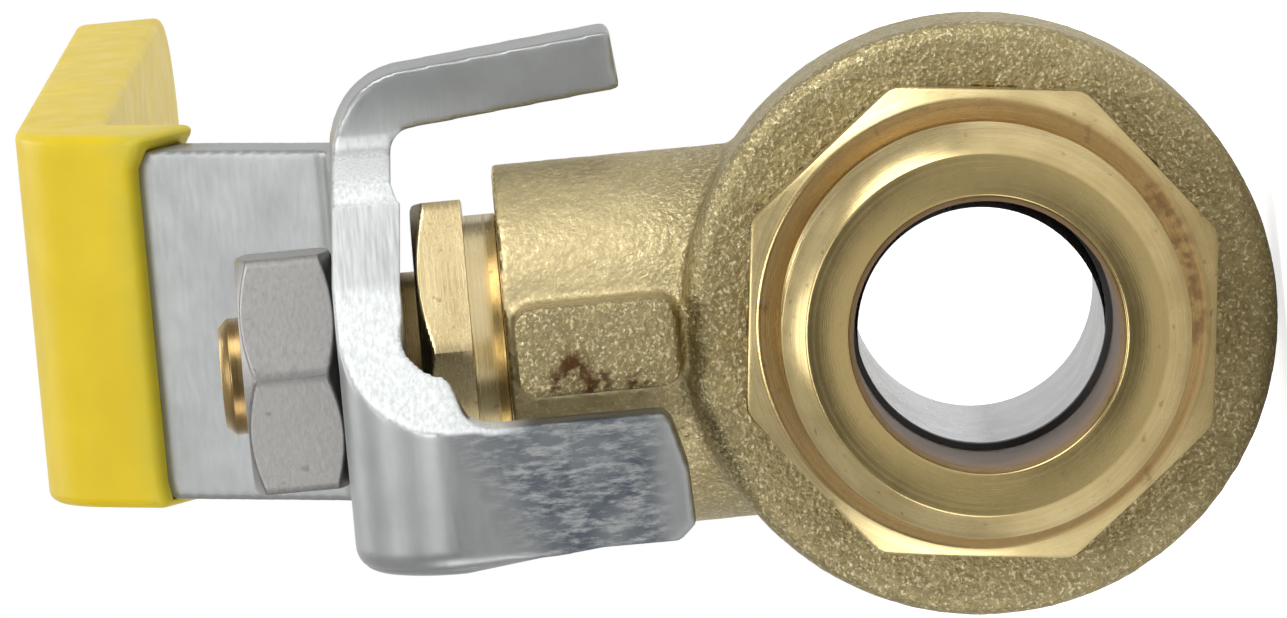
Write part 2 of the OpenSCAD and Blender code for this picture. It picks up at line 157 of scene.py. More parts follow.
# Sleeve
SLEEVE_T = 0.88
SLEEVE_SAG = 0.5                   # how much thinner the sleeve is along its lower edge
SLEEVE_START = 11.7                # its open end, along the riser
SLEEVE_EDGE = 0.75
RIM_DEPTH = 2.5                    # how far up the riser the drawn-out rim reaches

# Mesh
FACET_POWER = 90                   # higher makes a polygon's corners sharper
FACET_STEP = 0.08
THREAD_STEP = 0.11
THREAD_FADE = 0.7                  # run-out at both ends of a thread
BEVEL_ANGLE = math.radians(40)

# ---------------------------------------------------------------- mesh helpers


def new_object(name, verts, faces):
    mesh = bpy.data.meshes.new(name)
    mesh.from_pydata([tuple(v) for v in verts], [], faces)
    obj = bpy.data.objects.new(name, mesh)
    bpy.context.scene.collection.objects.link(obj)
    tidy_mesh(obj)
    return obj


def tidy_mesh(obj, merge=1e-5):
    """Welds doubled points and turns all faces outwards."""
    bm = bmesh.new()
    bm.from_mesh(obj.data)
    bmesh.ops.remove_doubles(bm, verts=bm.verts, dist=merge)
    bmesh.ops.recalc_face_normals(bm, faces=bm.faces)
    bm.to_mesh(obj.data)
    bm.free()


def applied(obj):
    """Turns the object's modifiers into plain mesh."""
    bpy.context.view_layer.update()
    graph = bpy.context.evaluated_depsgraph_get()
    mesh = bpy.data.meshes.new_from_object(obj.evaluated_get(graph))
    obj.modifiers.clear()
    obj.data = mesh
    return obj


def combined(obj, other, operation):
    cut = obj.modifiers.new("combine", "BOOLEAN")
    cut.operation, cut.object, cut.solver = operation, other, "MANIFOLD"
    applied(obj)
    bpy.data.objects.remove(other)
    return obj


def joined(name, objs):
    """One object holding the closed shells of several."""
    bm = bmesh.new()
    for o in objs:
        bm.from_mesh(o.data)
        bpy.data.objects.remove(o)
    mesh = bpy.data.meshes.new(name)
    bm.to_mesh(mesh)
    bm.free()
    obj = bpy.data.objects.new(name, mesh)
    bpy.context.scene.collection.objects.link(obj)
    return obj


def sliced(obj, direction, places):
    """Adds edge loops where planes across the given direction cut the mesh."""
    bm = bmesh.new()
    bm.from_mesh(obj.data)
    for at in places:
        everything = bm.verts[:] + bm.edges[:] + bm.faces[:]
        bmesh.ops.bisect_plane(bm, geom=everything, dist=1e-5, plane_co=Vector(direction) * at,
                               plane_no=Vector(direction))
    bm.to_mesh(obj.data)
    bm.free()


def bevelled(obj, width, segments):
    edge = obj.modifiers.new("edge", "BEVEL")
    edge.width, edge.segments, edge.limit_method = width, segments, "ANGLE"
    edge.angle_limit = BEVEL_ANGLE
    return applied(obj)


def skinned(obj, voxel, steps):
    """One even skin over overlapping shells, with its edges and corners softened."""
    skin = obj.modifiers.new("skin", "REMESH")
    skin.mode, skin.voxel_size = "VOXEL", voxel
    soft = obj.modifiers.new("soften", "SMOOTH")
    soft.factor, soft.iterations = 0.5, steps
    return applied(obj)


def coordinates(obj):
    co = np.empty(len(obj.data.vertices) * 3)
    obj.data.vertices.foreach_get("co", co)
    return co.reshape(-1, 3)


def normals_of(obj):
    normals = np.empty(len(obj.data.vertices) * 3)
    obj.data.vertices.foreach_get("normal", normals)
    return normals.reshape(-1, 3)


def set_coordinates(obj, co):
    obj.data.vertices.foreach_set("co", co.ravel())
    obj.data.update()


def roughened(obj, depth, size, seed):
    """Pushes the surface in by up to the given depth, in soft patches of the given size."""
    co = coordinates(obj)
    shift = Vector((seed * 7.3, seed * 1.9, seed * 4.1))
    amount = np.array([noise.noise(Vector(p) / size + shift) for p in co])
    set_coordinates(obj, co - normals_of(obj) * (0.5 + 0.5 * amount)[:, None] * depth)
    return obj


def attribute(obj, name, values):
    layer = obj.data.attributes.new(name, "FLOAT", "POINT")
    layer.data.foreach_set("value", np.clip(values, 0, 1).astype(np.float32))


def smooth_ramp(x, low, high):
    t = np.clip((x - low) / (high - low), 0, 1)
    return t * t * (3 - 2 * t)


def spots(co, places):
    """How strongly each point lies in one of the spots (x, y, z, radius)."""
    value = np.zeros(len(co))
    for x, y, z, r in places:
        away = np.linalg.norm(co - np.array([x, y, z]), axis=1)
        value = np.maximum(value, 1 - smooth_ramp(away, 0.35 * r, r))
    return value


def place(obj, body, material, nodes, at=(0, 0, 0), turn=0, edge_angle=32):
    """Millimetres to metres, then shading, material, body and the nodes it stands for, which it hides."""
    obj.data.transform(Matrix.Scale(MM, 4))
    obj.data.shade_smooth()
    obj.data.set_sharp_from_angle(angle=math.radians(edge_angle))
    obj.data.materials.clear()
    obj.data.materials.append(material)
    obj.data.transform(Matrix.Rotation(math.radians(turn), 4, "Z"))
    obj.location = Vector(at) * MM
    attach(obj, body)
    if nodes:
        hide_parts(*nodes)
    return obj


# ---------------------------------------------------------------- turned parts


def eased(profile, cut=0.12):
    """Breaks each corner of a closed section with a small three-point round."""
    points = []
    count = len(profile)
    for i in range(count):
        p, before, after = (Vector(profile[k % count]) for k in (i, i - 1, i + 1))
        if p.x < 1e-6:
            points.append(p)
            continue
        a, b = before - p, after - p
        a, b = (v.normalized() * min(cut, 0.4 * v.length) for v in (a, b))
        points += [p + a, p + (a + b) * 0.25, p + b]
    return points


def dense(points, low, high, step):
    """More points on the section's outside edges between two distances along the axis."""
    result = []
    for p, q in zip(points, points[1:] + points[:1]):
        result.append(p)
        inside = min(p.y, q.y) >= low - 0.2 and max(p.y, q.y) <= high + 0.2
        n = int((q - p).length / step) if inside else 0
        result += [p.lerp(q, k / n) for k in range(1, n)]
    return result


def facet_radius(angles, facets):
    """Distance to a polygon's flats in each direction, with faintly rounded corners."""
    count, across, turn = facets
    flats = math.radians(turn) + np.arange(count) * 2 * math.pi / count
    reach = np.maximum(np.cos(angles[:, None] - flats[None, :]), 0)
    return across / 2 * (reach ** FACET_POWER).sum(axis=1) ** (-1 / FACET_POWER)


def thread_wave(along, angles):
    """0 at the crest and 1 at the root of a right-hand thread."""
    return 0.5 - 0.5 * np.cos(2 * math.pi * (along / PITCH - angles / (2 * math.pi)))


def turned(name, profile, axis, segments=160, facets=None, facet_from=None, thread=None,
           cut=0.12):
    """A closed part turned about the flow or stem axis from a (radius, distance) section.
    facets: (count, across flats, turn) cut into the outside within facet_from (low, high).
    thread: (low, high, radius, depth), where a negative depth cuts outwards."""
    points = eased([Vector(p) for p in profile], cut)
    if thread:
        points = dense(points, thread[0], thread[1], THREAD_STEP)
    if facets:
        points = dense(points, facet_from[0], facet_from[1], FACET_STEP)
    angles = np.arange(segments) * 2 * math.pi / segments
    edge = 0.15
    rings = []
    for p in points:
        r = np.full(segments, p.x)
        if facets and facet_from[0] - edge <= p.y <= facet_from[1] + edge:
            r = softer_of(r, facet_radius(angles, facets))
        if thread and thread[0] <= p.y <= thread[1] and abs(p.x - thread[2]) < 0.02:
            fade = min(1, (p.y - thread[0]) / THREAD_FADE, (thread[1] - p.y) / THREAD_FADE)
            r = r - thread[3] * max(fade, 0) * thread_wave(p.y, angles)
        rings.append(r)
    radius = np.array(rings)
    along = np.array([p.y for p in points])[:, None] * np.ones(segments)
    if axis == "flow":
        verts = np.stack([radius * np.sin(angles), along, radius * np.cos(angles)], axis=2)
    else:
        verts = np.stack([radius * np.cos(angles), radius * np.sin(angles), along], axis=2)
    rows, n = len(points), segments
    faces = [
        (i * n + j, i * n + (j + 1) % n, (i + 1) % rows * n + (j + 1) % n, (i + 1) % rows * n + j)
        for i in range(rows) for j in range(n)
        if max(points[i].x, points[(i + 1) % rows].x) > 1e-6
    ]
    return new_object(name, verts.reshape(-1, 3), faces)


def softer_of(a, b, sharpness=30):
    """The smaller of two radii, with the line where they meet faintly rounded."""
    return a - np.log1p(np.exp(-sharpness * (b - a))) / sharpness


def cutter(profile, axis):
    return turned("cutter", profile, axis, segments=128, cut=0.01)


# ---------------------------------------------------------------- bent strip parts


def bent_outline(start, heading, steps, thickness, arc_steps=24):
    """Closed outline of a bent strip. A step is (length,) or (middle radius, turn in degrees)."""
    sides = [[], []]
    p, a = Vector(start), math.radians(heading)

    def mark():
        across = Vector((-math.sin(a), math.cos(a)))
        for side, sign in zip(sides, (1, -1)):
            side.append(p + across * sign * thickness / 2)

    mark()
    for step in steps:
        if len(step) == 1:
            p = p + Vector((math.cos(a), math.sin(a))) * step[0]
            mark()
            continue
        r, turn = step[0], math.radians(step[1])
        sign = 1 if turn > 0 else -1
        centre = p + sign * r * Vector((-math.sin(a), math.cos(a)))
        for _ in range(arc_steps):
            a += turn / arc_steps
            p = centre + sign * r * Vector((math.sin(a), -math.cos(a)))
            mark()
    return sides[0] + sides[1][::-1]


def prism(name, outline, plane, low, high):
    """An outline in one plane drawn out along the third axis."""
    def point(u, v, w):
        return {"yz": (w, u, v), "xy": (u, v, w), "xz": (u, w, v)}[plane]

    n = len(outline)
    verts = [point(u, v, w) for w in (low, high) for u, v in outline]
    faces = [tuple(range(n)), tuple(range(n, 2 * n))[::-1]]
    faces += [(i, (i + 1) % n, n + (i + 1) % n, n + i) for i in range(n)]
    return new_object(name, verts, faces)


def arc(cx, cy, r, start, end, steps=10):
    angles = [math.radians(start + (end - start) * k / steps) for k in range(steps + 1)]
    return [(cx + r * math.cos(a), cy + r * math.sin(a)) for a in angles]


def round_end(width, tip, r):
    """Plan outline with a far end whose corners are rounded."""
    half = width / 2
    right, left = arc(half - r, tip - r, r, 0, 90), arc(r - half, tip - r, r, 90, 180)
    return [(-half, -PAST), (half, -PAST), *right, *left]


def grip_length():
    droop, rise = math.radians(GRIP_DROOP), math.radians(RISER_TURN)
    bend = GRIP_BEND * (math.sin(rise) + math.sin(droop))
    return (STRIP_TIP - (RISER_FROM.x + RISER_LEN * math.cos(rise) + bend)) / math.cos(droop)


def hub_with_front_ear():
    """Flat hub whose front edge runs diagonally into the ear bent down at the front."""
    half, front, left = STRIP_W / 2, -EAR_OUTER - PAST, EAR_RIGHT - EAR_W
    blend_run, blend_curve = 7, 0.35
    body = prism("hub", bent_outline((PAST, MID_Z), 180, [
        (EAR_OUTER - EAR_BEND + PAST,), (EAR_BEND - STRIP_T / 2, 90),
        (LEVER_HIGH - EAR_BEND - EAR_LOW,)], STRIP_T), "yz", -half, half)
    plan = prism("plan", [
        (-half, PAST), (-half, front), (EAR_RIGHT, front), (EAR_RIGHT, -EAR_OUTER),
        *[(EAR_RIGHT + blend_run * t,
           -EAR_OUTER + (EAR_OUTER - HUB_FRONT) * ((1 + blend_curve) * t - blend_curve * t * t))
          for t in np.linspace(0.1, 1, 8)],
        (half, -HUB_FRONT), (half, PAST),
    ], "xy", EAR_LOW - PAST, LEVER_HIGH + PAST)
    front_view = prism("front_view", [
        (-half, LEVER_HIGH + PAST), (half, LEVER_HIGH + PAST), (half, LEVER_LOW - 0.5),
        (EAR_RIGHT + 4, LEVER_HIGH - 5), (EAR_RIGHT + 0.5, LEVER_HIGH - 6.4),
        (EAR_RIGHT, LEVER_HIGH - 7.4), (EAR_RIGHT, EAR_LOW + 1.2), (EAR_RIGHT - 0.5, EAR_LOW + 0.75),
        (EAR_RIGHT - EAR_W * 0.45, EAR_LOW + 0.1), (left + 0.8, EAR_LOW), (left, EAR_LOW + 0.9),
        (left, EAR_LOW + 5), (-half, EAR_LOW + 12),
    ], "xz", front, PAST)
    return combined(combined(body, plan, "INTERSECT"), front_view, "INTERSECT")


def side_ear():
    """Ear at the side, bent down from the hub's edge."""
    outer, bend, low, width, splay = 15.95, 4.2, 17.3 + HUB_DROP, 4.6, 5.5
    edge, corner, relief = 2.91, 3.0, 1.6
    run = LEVER_HIGH - bend - low
    start = outer - bend - run * math.tan(math.radians(splay))
    body = prism("side", bent_outline((0, MID_Z), 0, [
        (start,), (bend - STRIP_T / 2, splay - 90), (run,)], STRIP_T), "xz", -HUB_FRONT, edge + width)
    plan = prism("plan", [
        (0, -HUB_FRONT), *arc(start - corner, corner - HUB_FRONT, corner, -90, 0),
        (start, edge - relief), (start + 0.35, edge - 0.5), (start + 1.1, edge),
        (outer + PAST, edge), (outer + PAST, edge + width), (0, edge + width),
    ], "xy", low - 2 * PAST, LEVER_HIGH + PAST)
    return combined(body, plan, "INTERSECT")


def lever_strip():
    """Hub, riser and grip in one bent strip with a rounded far end."""
    strip = prism("strip", bent_outline((0, MID_Z), 0, [
        (RISER_START,), (RISER_BEND, RISER_TURN), (RISER_LEN,),
        (GRIP_BEND, -RISER_TURN - GRIP_DROOP), (grip_length(),)], STRIP_T),
        "yz", -STRIP_W / 2, STRIP_W / 2)
    end = prism("end", round_end(STRIP_W, STRIP_TIP, TIP_ROUND), "xy", *GRIP_HEIGHTS)
    return combined(strip, end, "INTERSECT")


def dipped_hub(obj):
    """Dips the hub towards the side ear and rolls its front edge down a little."""
    co = coordinates(obj)
    slope = (np.clip(co[:, 0], HUB_SLOPE_FROM, HUB_SLOPE_TO) - HUB_SLOPE_FROM)
    slope *= HUB_DROP / (HUB_SLOPE_TO - HUB_SLOPE_FROM) * (1 - smooth_ramp(co[:, 1], 4, 13))
    under = smooth_ramp(-co[:, 1], 7.2, 9.0) * (1 - smooth_ramp(-co[:, 1], 9.6, 11.5))
    under *= 1 - smooth_ramp(co[:, 2], LEVER_LOW + 0.2, LEVER_LOW + 1.4)
    under *= smooth_ramp(co[:, 2], 26, 29)
    co[:, 2] -= slope + HUB_ROLL * under
    set_coordinates(obj, co)


def rounded_corner(obj):
    """Rounds the hub's free edge where it runs over the front bend into the ear."""
    co = coordinates(obj)
    along, up = co[:, 1] + EAR_OUTER - EAR_BEND, co[:, 2] - LEVER_HIGH + EAR_BEND
    reach = np.hypot(np.minimum(along, 0), np.maximum(up, 0))
    out = np.stack([np.minimum(along, 0), np.maximum(up, 0)], axis=1)
    out /= np.maximum(reach, 1e-6)[:, None]
    u = np.clip((HUB_ROUND - STRIP_W / 2 - co[:, 0]) / HUB_ROUND, 0, 1)
    v = np.clip((reach - EAR_BEND + HUB_ROUND) / HUB_ROUND, 0, 1)
    pull = 1 - np.maximum(u, v) / np.maximum(np.hypot(u, v), 1e-6)
    pull *= HUB_ROUND * smooth_ramp(-co[:, 1], 4, 9.5) * smooth_ramp(co[:, 2], 21, 26)
    co[:, 0] += pull * u
    co[:, 1:] -= out * (pull * v)[:, None]
    set_coordinates(obj, co)


def bent_lever(material):
    """Pressed steel lever with its hub, ears, riser and the strip inside the sleeve."""
    obj = joined("bent_lever", [hub_with_front_ear(), side_ear(), lever_strip()])
    skinned(obj, voxel=0.2, steps=4)
    rounded_corner(obj)
    dipped_hub(obj)
    hole_r, steps = STEM_THREAD_R + 0.05, 48
    hole = prism("hole", arc(0, 0, hole_r, 0, 360, steps)[:-1], "xy",
                 LEVER_LOW - PAST, LEVER_HIGH + PAST)
    combined(obj, hole, "DIFFERENCE")
    roughened(obj, depth=0.03, size=2.4, seed=3)
    co = coordinates(obj)
    on_front_ear = (1 - smooth_ramp(co[:, 1], -15.4, -13.8)) * smooth_ramp(co[:, 2], 16.4, 18.0)
    on_front_ear *= 1 - smooth_ramp(co[:, 2] - 0.5 * (co[:, 0] + 2), 25.5, 29)
    attribute(obj, "scuff", on_front_ear)
    # Layer for the lighter cut edges near the front and the side ear: partly bare cut steel, partly a painted
    # highlight.
    facing = normals_of(obj)
    upright = 1 - smooth_ramp(np.abs(facing[:, 2]), 0.5, 0.8)
    sideways = smooth_ramp(facing[:, 0] + (co[:, 0] > 4.3), 0.15, 0.35)
    on_side = smooth_ramp(co[:, 0], 8.5, 9.5) * (1 - smooth_ramp(co[:, 1], 1, 4))
    near_front = np.maximum(smooth_ramp(-co[:, 1], 3.5, 5.5), on_side)
    near_front *= 1 - smooth_ramp(co[:, 0], 11.5, 14)
    attribute(obj, "cut_edge_and_highlight", upright * sideways * near_front * smooth_ramp(co[:, 2], 23, 26))
    return place(obj, "lever", material, ["lever"], (0, STEM_Y, 0), -REST_TURN, 50)


def up_riser(co, start):
    """How far each point lies up the riser from the sleeve's open end."""
    return (co[:, 1] - start.x) * RISER_DIR.x + (co[:, 2] - start.y) * RISER_DIR.y


def drawn_rim(obj, start):
    """Draws the sleeve's open end down the riser along both edges, further at one of them."""
    co = coordinates(obj)
    side = np.abs(co[:, 0]) / (STRIP_W / 2 + SLEEVE_T)
    reach = (0.75 + 0.35 * np.sign(co[:, 0])) * smooth_ramp(side, 0.8, 1)
    shift = -reach * (1 - smooth_ramp(up_riser(co, start), 0, RIM_DEPTH))
    co[:, 1] += shift * RISER_DIR.x
    co[:, 2] += shift * RISER_DIR.y
    set_coordinates(obj, co)


def dipped_sleeve(material):
    """Plastic skin over the grip, thicker and drawn forwards along its edges at the open end."""
    start = RISER_FROM + RISER_DIR * SLEEVE_START
    length = RISER_LEN - SLEEVE_START
    rim_steps = 8
    shape = [(length / rim_steps,)] * rim_steps
    shape += [(GRIP_BEND, -RISER_TURN - GRIP_DROOP), (grip_length() + SLEEVE_T,)]
    half = STRIP_W / 2 + SLEEVE_T
    outer = prism("dipped_sleeve", bent_outline(start, RISER_TURN, shape, STRIP_T + 2 * SLEEVE_T),
                  "yz", SLEEVE_SAG - half, half)
    end = prism("end", round_end(2 * half, STRIP_TIP + SLEEVE_T, TIP_ROUND + SLEEVE_T), "xy",
                *GRIP_HEIGHTS)
    combined(outer, end, "INTERSECT")
    bevelled(outer, SLEEVE_EDGE, 4)
    sliced(outer, (1, 0, 0), np.linspace(0.3 - half, half - 0.3, 27))
    drawn_rim(outer, start)
    before = 4                                 # the hollow starts this far below the open end
    inner = prism("inner", bent_outline(start - RISER_DIR * before, RISER_TURN, [
        (length + before,), (GRIP_BEND, -RISER_TURN - GRIP_DROOP), (grip_length(),)],
        STRIP_T), "yz", -STRIP_W / 2, STRIP_W / 2)
    end = prism("end", round_end(STRIP_W, STRIP_TIP, TIP_ROUND), "xy", *GRIP_HEIGHTS)
    combined(outer, combined(inner, end, "INTERSECT"), "DIFFERENCE")
    # Layer for the painted shade at the sleeve's open end.
    rim_shade = 1 - smooth_ramp(up_riser(coordinates(outer), start), -0.6, RIM_DEPTH - 0.1)
    attribute(outer, "rim", rim_shade)
    return place(outer, "lever", material, ["lever_sleeve"], (0, STEM_Y, 0),
                 -REST_TURN, 60)


# ---------------------------------------------------------------- brass parts


def forged_housing(material):
    """Barrel, neck, lug and rear octagon under one shot-blasted skin, with turned openings."""
    r, front, rear, top = BODY_HIGH.x, BARREL_FRONT, BODY_HIGH.y, BODY_HIGH.z
    shoulder, shoulder_y, waist_r = 6, 27.5, 12.2
    rim = [(r - FORGE_ROUND + x, front + FORGE_ROUND + y)
           for x, y in arc(0, 0, FORGE_ROUND, -90, 0, 6)]
    barrel = turned("barrel", [
        (0, front), (r - FORGE_ROUND, front), *rim, *arc(r - shoulder, shoulder_y, shoulder, 0, 48, 10),
        (waist_r, 37.5), (waist_r, 40), (0, 40)], "flow", cut=0.02)
    neck = turned("neck", [(0, 0), (NECK_R, 0), (NECK_R, top), (0, top)], "stem", cut=0.02)
    neck.data.transform(Matrix.Translation((0, STEM_Y, 0)))
    corner_r = 13.7                            # past the octagon's corners, so only its flats show
    rear_end = turned("rear_end", [
        (0, REAR_FROM), (corner_r, REAR_FROM), (corner_r, rear - 1), (12.1, rear), (0, rear)],
        "flow", facets=(8, REAR_FLATS, 0), facet_from=(REAR_FROM, rear), cut=0.02)
    right, left, low, high = LUG_SHIFT + 1.35, LUG_SHIFT - 1.35, 16.6, 23.1   # corner centres
    lug = prism("lug", [
        *arc(right, low, LUG_ROUND, -90, 0), *arc(right, high, LUG_ROUND, 0, 90),
        *arc(left, high, LUG_ROUND, 90, 180), *arc(left, low, LUG_ROUND, 180, 270),
    ], "xz", LUG_FRONT, STEM_Y)
    obj = joined("forged_housing", [barrel, neck, rear_end, lug])
    skinned(obj, voxel=0.25, steps=5)
    roughened(obj, depth=0.05, size=1.1, seed=1)
    roughened(obj, depth=0.05, size=0.42, seed=2)
    cut_from, cut_top = 13, 26
    flow_cut = cutter([
        (0, cut_from), (PLUG_BORE_R, cut_from), (PLUG_BORE_R, PLUG_END),
        (CAVITY_R, PLUG_END), (CAVITY_R, CAVITY_END), (SEAT_R, CAVITY_END), (SEAT_R, SEAT_BACK),
        (BORE_R, SEAT_BACK), (BORE_R, REAR_BORE_FROM), (REAR_BORE_R, REAR_BORE_FROM),
        (REAR_BORE_R, rear + PAST), (0, rear + PAST)], "flow")
    stem_cut = cutter([
        (0, 0), (COLLAR_R + 0.1, 0), (COLLAR_R + 0.1, WASHER_HIGH), (STEM_BORE_R, WASHER_HIGH),
        (STEM_BORE_R, CHAMBER_LOW), (CHAMBER_R, CHAMBER_LOW), (CHAMBER_R, cut_top),
        (0, cut_top)], "stem")
    stem_cut.data.transform(Matrix.Translation((0, STEM_Y, 0)))
    combined(obj, flow_cut, "DIFFERENCE")
    combined(obj, stem_cut, "DIFFERENCE")
    co = coordinates(obj)
    from_axis = np.hypot(co[:, 0], co[:, 2])
    machined = np.maximum((from_axis < 12) & (co[:, 1] > 13.5) & (co[:, 1] < 19.5),
                          smooth_ramp(co[:, 2], top - 0.3, top - 0.12))
    machined = np.maximum(machined, smooth_ramp(co[:, 1], rear - 1.4, rear - 1))
    attribute(obj, "machined", machined)
    attribute(obj, "stain", spots(co, [
        (-0.4, LUG_FRONT, 21.2, 1.3), (-1.3, LUG_FRONT, 20.1, 1.2), (-1.0, LUG_FRONT, 22.2, 0.8),
        (-1.5, LUG_FRONT, 18.0, 0.8), (-1.6, LUG_FRONT + 1.5, 19.4, 0.9), (6.5, 15.2, 10.8, 1.0),
        (-9.5, 36, 9.5, 1.6), (10.5, 30, -9.5, 1.3), (-4, 44, 12.4, 1.1)]))
    skin_neck = smooth_ramp(co[:, 2], 12.5, 19)
    attribute(obj, "neck", skin_neck * (1 - smooth_ramp(-(co[:, 1] - STEM_Y), 10.2, 11)))
    return place(obj, "housing", material, ["valve_body"], edge_angle=45)


def rear_thread(material):
    """Turned female thread in the rear end of the housing."""
    rear, low = BODY_HIGH.y, REAR_BORE_FROM + 0.02
    r, outside, chamfer = REAR_CREST_R, REAR_BORE_R - 0.01, 1.2
    obj = turned("rear_thread", [
        (outside, low), (outside, rear - 0.05), (10.5, rear - 0.05), (r, rear - chamfer), (r, low)],
        "flow", thread=(low + 0.2, rear - chamfer - 0.05, r, -THREAD_DEPTH), cut=0.06)
    return place(obj, "housing", material, [])


def front_connector(material):
    """Turned front end: sealing face, male thread, octagon, and the plug inside the housing."""
    front, end, edge_r = BARREL_FRONT, CONNECTOR_END, 13.3
    low, high = 1.32, 9.55                     # ends of the turned thread
    ring_low, ring_high, ring_r = 14.9, 16.1, 11.02
    groove = [(PLUG_R, ring_low), (ring_r, ring_low), (ring_r, ring_high), (PLUG_R, ring_high)]
    obj = turned("front_connector", [
        (7.15, 0), (FACE_R, 0), (CREST_R, THREAD_CHAMFER), (CREST_R, 9.6), (UNDERCUT_R, 10),
        (UNDERCUT_R, RING_FRONT), (RING_R, RING_FRONT), (edge_r, 11.55), (edge_r, front),
        (PLUG_R, front), *groove, (PLUG_R, end), (SEAT_R, end), (SEAT_R, 15.2), (BORE_R, 15.2),
        (BORE_R, 0.5)],
        "flow", segments=240, facets=(8, FRONT_FLATS, FRONT_TURN), facet_from=(10.5, front),
        thread=(low, high, CREST_R, THREAD_DEPTH), cut=0.1)
    co = coordinates(obj)
    r = np.hypot(co[:, 0], co[:, 2])
    # Layer for painted shade: the flat sealing face is given a darker olive colour.
    on_face = 1 - smooth_ramp(co[:, 1], 0.02, 0.12)
    attribute(obj, "face", on_face * (1 - smooth_ramp(r, FACE_R - 0.1, FACE_R + 0.05)))
    # Layer for painted shade on the ring in front of the octagon and its undercut.
    attribute(obj, "shaded_ring", (1 - smooth_ramp(r, 11.5, 11.7)) * smooth_ramp(co[:, 1], 9.9, 10.1)
              * smooth_ramp(r, 9, 9.2))
    # Layer for painted shade on the bore wall.
    attribute(obj, "bore", 1 - smooth_ramp(r, BORE_R + 0.04, BORE_R + 0.15))
    stain_r = 11.0
    beside_octagon = [(stain_r * math.cos(math.radians(a)), RING_FRONT,
                       stain_r * math.sin(math.radians(a)), 0.85) for a in range(-98, -54, 5)]
    connector_marks = spots(co, [*beside_octagon, (-8.6, 10.9, -7.6, 0.7), (2.0, RING_FRONT, 11.2, 0.5)])
    attribute(obj, "stain", connector_marks * (co[:, 1] > 10.2))
    return place(obj, "housing", material, ["end_connector"])


def gland_hexagon(material):
    """Gland nut: smooth collar on the neck and a hexagon turned off at its top corners."""
    low, high, neck = GLAND_LOW.z, GLAND_HIGH.z, BODY_HIGH.z
    hole, collar, inside = 4.72, 7.25, 6.98
    obj = turned("gland_hexagon", [
        (hole, low), (inside, low), (inside, neck), (collar, neck), (collar, GLAND_HEX_LOW),
        (9.2, GLAND_HEX_LOW), (9.3, high - 0.78), (7.75, high), (5.1, high), (hole, high - 0.35)],
        "stem", facets=(6, GLAND_FLATS, GLAND_TURN), facet_from=(GLAND_HEX_LOW, high), cut=0.1)
    return place(obj, "housing", material, ["gland_nut"], (0, STEM_Y, 0))


def lever_hexagon(material):
    """Plated hexagon nut with both ends turned off, on the threaded end of the stem."""
    low, high = NUT_LOW.z, NUT_HIGH.z
    hole, corner, end = 4.02, 7.15, 5.97
    obj = turned("lever_hexagon", [
        (hole, low + 0.3), (4.4, low), (end, low), (corner, low + NUT_CUT), (corner, high - NUT_CUT),
        (end, high), (4.5, high), (hole, high - 0.45)],
        "stem", facets=(6, NUT_FLATS, 0), facet_from=(low, high), cut=0.08)
    return place(obj, "lever", material, ["lever_nut"], (0, STEM_Y, 0))


def turned_stem(material):
    """Stem with its tang, ring grooves, driving flats and the plain end above its nut."""
    nut_top, groove_r = NUT_HIGH.z, 4.12
    grooves = [point for low, high in ((14.9, 16.1), (16.7, 17.9)) for point in (
        (STEM_R, low), (groove_r, low), (groove_r, high), (STEM_R, high))]
    shaft = turned("turned_stem", [
        (0, COLLAR_LOW), (COLLAR_R, COLLAR_LOW), (COLLAR_R, COLLAR_HIGH), (STEM_R, COLLAR_HIGH),
        *grooves, (STEM_R, LEVER_LOW), (STEM_THREAD_R, LEVER_LOW), (STEM_THREAD_R, nut_top - 0.6),
        (STEM_END_R, nut_top - 0.1), (STEM_END_R, STEM_TOP - 0.5), (2.55, STEM_TOP), (0, STEM_TOP)],
        "stem", cut=0.08)
    tang = turned("tang", [
        (0, TANG_LOW), (TANG_R, TANG_LOW), (TANG_R, 11.7), (0, 11.7)], "stem", cut=0.1)
    wide, thick = 6, TANG_HALF
    slab = prism("slab", [(-wide, -thick), (wide, -thick), (wide, thick), (-wide, thick)], "xy", 7, 12)
    combined(tang, slab, "INTERSECT")
    for side in (-1, 1):
        inner, outer = side * FLAT_HALF, side * 8
        flat = prism("flat", [(inner, -wide), (outer, -wide), (outer, wide), (inner, wide)], "xy",
                     LEVER_LOW, LEVER_HIGH)
        combined(shaft, flat, "DIFFERENCE")
    combined(shaft, tang, "UNION")
    return place(shaft, "lever", material, ["stem"], (0, STEM_Y, 0), -REST_TURN)


def finished_copy(name, node, body, material, bevel=0.0):
    """A CAD node's own shape with its edges broken, for the pieces inside."""
    mesh = frame["nodes"][node].data.copy()
    obj = bpy.data.objects.new(name, mesh)
    bpy.context.scene.collection.objects.link(obj)
    mesh.transform(Matrix.Scale(1 / MM, 4))
    tidy_mesh(obj, 1e-4)
    if bevel:
        bm = bmesh.new()
        bm.from_mesh(mesh)
        bmesh.ops.dissolve_limit(bm, angle_limit=math.radians(0.5), verts=bm.verts, edges=bm.edges)
        bm.to_mesh(mesh)
        bm.free()
        bevelled(obj, bevel, 2)
    return place(obj, body, material, [node])


# ---------------------------------------------------------------- materials


